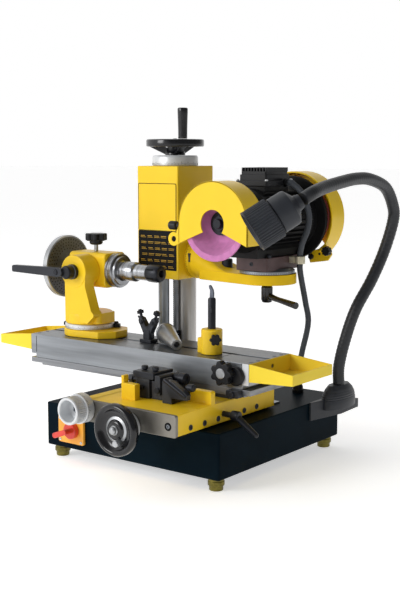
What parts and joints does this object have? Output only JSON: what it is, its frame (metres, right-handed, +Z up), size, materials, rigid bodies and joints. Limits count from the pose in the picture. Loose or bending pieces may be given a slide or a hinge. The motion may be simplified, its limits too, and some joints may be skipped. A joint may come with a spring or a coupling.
{
  "type": "tool and cutter grinder",
  "caption": "Bench tool and cutter grinder with dividing workhead, cross-slide table, raised swivelling motor with guarded cup wheel, tooth rest, trays and lamp.",
  "frame": {"origin": "centre of the overall box on the surface the feet stand on", "axes": "+X along the table to the right, +Y to the back, +Z up"},
  "size_m": [0.7232, 0.567, 0.6443],
  "materials": {
    "yellow_paint": "smooth yellow enamel",
    "night_paint": "near-black blue enamel",
    "black_paint": "satin black enamel",
    "black_plastic": "black moulded plastic",
    "black_oxide": "blackened steel",
    "ground_steel": "ground steel",
    "bright_steel": "polished steel",
    "silver": "turned aluminium",
    "brass": "dulled brass",
    "red_plastic": "red moulded plastic",
    "orange_plate": "orange-yellow moulded plastic",
    "wheel_abrasive": null,
    "brown_paint": "brown-grey enamel",
    "grey_hose": "grey flexible conduit",
    "black_hose": "black sleeved gooseneck"
  },
  "bodies": {
    "base": {"cabinet": "night_paint", "foot_fl": "brass", "foot_fr": "brass", "foot_rl": "brass", "foot_rr": "brass", "cross_way": "ground_steel", "column_foot": "night_paint", "column_post": "bright_steel", "guide_post": "ground_steel", "switch_plate": "orange_plate", "lamp_foot": "black_plastic", "cabinet_gland": "black_plastic", "conduit_lower": "grey_hose"},
    "switch": {"switch_knob": "red_plastic"},
    "lamp": {"lamp_neck": "black_hose", "lamp_head": "black_plastic"},
    "head": {"head_housing": "yellow_paint"},
    "lift": {"lift_dial": "silver", "lift_handwheel": "black_paint", "lift_grip": "black_plastic", "elevating_screw": "ground_steel"},
    "arm": {"arm": "yellow_paint"},
    "arm_clamp": {"arm_lever": "black_plastic"},
    "motor": {"swivel_base": "brown_paint", "motor_body": "black_paint", "terminal_box": "black_plastic", "conduit_clamp": "brass", "conduit_upper": "grey_hose"},
    "rotor": {"rotor_shaft": "ground_steel", "cup_wheel": "wheel_abrasive", "rear_wheel": "wheel_abrasive"},
    "front_hood": {"front_guard": "yellow_paint"},
    "rear_hood": {"rear_guard": "yellow_paint"},
    "saddle": {"saddle": "yellow_paint", "front_plate": "ground_steel", "table_way": "black_oxide", "stop_block": "black_oxide"},
    "cross_feed": {"cross_handwheel": "black_paint", "cross_screw": "silver"},
    "table_drive": {"table_knob": "silver"},
    "saddle_clamp": {"saddle_lever": "black_oxide"},
    "slide": {"lower_table": "ground_steel"},
    "table": {"upper_table": "ground_steel", "left_tray": "yellow_paint", "right_tray": "yellow_paint", "workhead_base": "yellow_paint", "swivel_ring": "silver", "toothrest_holder": "yellow_paint", "v_rest": "black_oxide", "taper_sleeve": "bright_steel"},
    "table_clamp": {"table_star_knob": "black_plastic"},
    "workhead": {"workhead_yoke": "yellow_paint"},
    "workhead_clamp": {"workhead_lever": "black_oxide"},
    "barrel": {"workhead_barrel": "yellow_paint"},
    "barrel_clamp": {"spindle_star_knob": "black_plastic"},
    "work_spindle": {"work_spindle": "bright_steel", "index_disc": "ground_steel", "collet_nut": "black_oxide"},
    "tooth_rest": {"toothrest_post": "black_oxide"},
    "tooth_rest_clamp": {"toothrest_knob": "black_plastic"}
  },
  "joints": [
    {"name": "switch_turn", "type": "hinge", "parent": "base", "child": "switch", "pos_m": [-0.08233, -0.17445, 0.06], "axis": [0, 1, 0], "range_deg": [0, 90]},
    {"name": "lamp_swing", "type": "hinge", "parent": "base", "child": "lamp", "pos_m": [0.25567, 0.19355, 0.127], "axis": [0, 0, 1], "range_deg": [-15, 25]},
    {"name": "head_lift", "type": "slide", "parent": "base", "child": "head", "axis": [0, 0, 1], "range_m": [-0.035, 0.1], "deforming": ["conduit_lower"]},
    {"name": "lift_turn", "type": "hinge", "parent": "head", "child": "lift", "pos_m": [-0.08333, 0.12655, 0.533], "axis": [0, 0, 1], "range_deg": [-1266, 3606]},
    {"name": "arm_tilt", "type": "hinge", "parent": "head", "child": "arm", "pos_m": [-0.03203, 0.12655, 0.353], "axis": [1, 0, 0], "range_deg": [-10, 10]},
    {"name": "arm_clamp_turn", "type": "hinge", "parent": "arm", "child": "arm_clamp", "pos_m": [0.13667, 0.12655, 0.3], "axis": [0, 0, 1], "range_deg": [-45, 45]},
    {"name": "motor_swivel", "type": "hinge", "parent": "arm", "child": "motor", "pos_m": [0.13667, 0.12655, 0.34], "axis": [0, 0, 1], "range_deg": [-25, 40]},
    {"name": "spindle_spin", "type": "hinge", "parent": "motor", "child": "rotor", "pos_m": [0.13667, 0.12655, 0.4354], "axis": [0, 1, 0], "continuous": true},
    {"name": "front_guard_turn", "type": "hinge", "parent": "motor", "child": "front_hood", "pos_m": [0.13667, -0.00445, 0.4354], "axis": [0, 1, 0], "range_deg": [-15, 15]},
    {"name": "rear_guard_turn", "type": "hinge", "parent": "motor", "child": "rear_hood", "pos_m": [0.13667, 0.25555, 0.4354], "axis": [0, 1, 0], "range_deg": [-15, 15]},
    {"name": "cross_slide", "type": "slide", "parent": "base", "child": "saddle", "axis": [0, 1, 0], "range_m": [-0.15, 0.025]},
    {"name": "cross_turn", "type": "hinge", "parent": "saddle", "child": "cross_feed", "pos_m": [0.10867, -0.23645, 0.11], "axis": [0, 1, 0], "range_deg": [-5406, 906]},
    {"name": "table_slide", "type": "slide", "parent": "saddle", "child": "slide", "axis": [1, 0, 0], "range_m": [-0.027, 0.19]},
    {"name": "table_drive_turn", "type": "hinge", "parent": "saddle", "child": "table_drive", "pos_m": [0.00567, -0.23645, 0.127], "axis": [0, 1, 0], "range_deg": [-168, 1146]},
    {"name": "saddle_clamp_turn", "type": "hinge", "parent": "saddle", "child": "saddle_clamp", "pos_m": [0.23367, -0.10645, 0.12], "axis": [1, 0, 0], "range_deg": [-40, 40]},
    {"name": "table_swivel", "type": "hinge", "parent": "slide", "child": "table", "pos_m": [-0.01433, -0.02545, 0.169], "axis": [0, 0, 1], "range_deg": [-5, 5]},
    {"name": "table_clamp_turn", "type": "hinge", "parent": "table", "child": "table_clamp", "pos_m": [0.20217, -0.09945, 0.189], "axis": [0, 1, 0], "range_deg": [-90, 90]},
    {"name": "workhead_swivel", "type": "hinge", "parent": "table", "child": "workhead", "pos_m": [-0.18133, -0.01945, 0.231], "axis": [0, 0, 1], "range_deg": [-60, 12]},
    {"name": "workhead_clamp_turn", "type": "hinge", "parent": "workhead", "child": "workhead_clamp", "pos_m": [-0.18133, -0.08445, 0.333], "axis": [0, 1, 0], "range_deg": [-20, 20]},
    {"name": "workhead_tilt", "type": "hinge", "parent": "workhead", "child": "barrel", "pos_m": [-0.18133, -0.01945, 0.333], "axis": [0, 1, 0], "range_deg": [-15, 15]},
    {"name": "barrel_clamp_turn", "type": "hinge", "parent": "barrel", "child": "barrel_clamp", "pos_m": [-0.18533, 0.00555, 0.385], "axis": [0, 0, 1], "range_deg": [-90, 90]},
    {"name": "work_spindle_spin", "type": "hinge", "parent": "barrel", "child": "work_spindle", "pos_m": [-0.18133, 0.00555, 0.333], "axis": [1, 0, 0], "continuous": true},
    {"name": "tooth_rest_lift", "type": "slide", "parent": "table", "child": "tooth_rest", "axis": [0, 0, 1], "range_m": [0, 0.03]},
    {"name": "tooth_rest_clamp_turn", "type": "hinge", "parent": "table", "child": "tooth_rest_clamp", "pos_m": [0.15643, -0.06335, 0.236], "axis": [0.76, -0.65, 0], "range_deg": [-90, 90]}
  ],
  "couplings": [
    {"joint": "lift_turn", "follows": "head_lift", "rad_per_m": 628.32},
    {"joint": "cross_turn", "follows": "cross_slide", "rad_per_m": 628.32},
    {"joint": "table_drive_turn", "follows": "table_slide", "rad_per_m": 104.72}
  ]
}
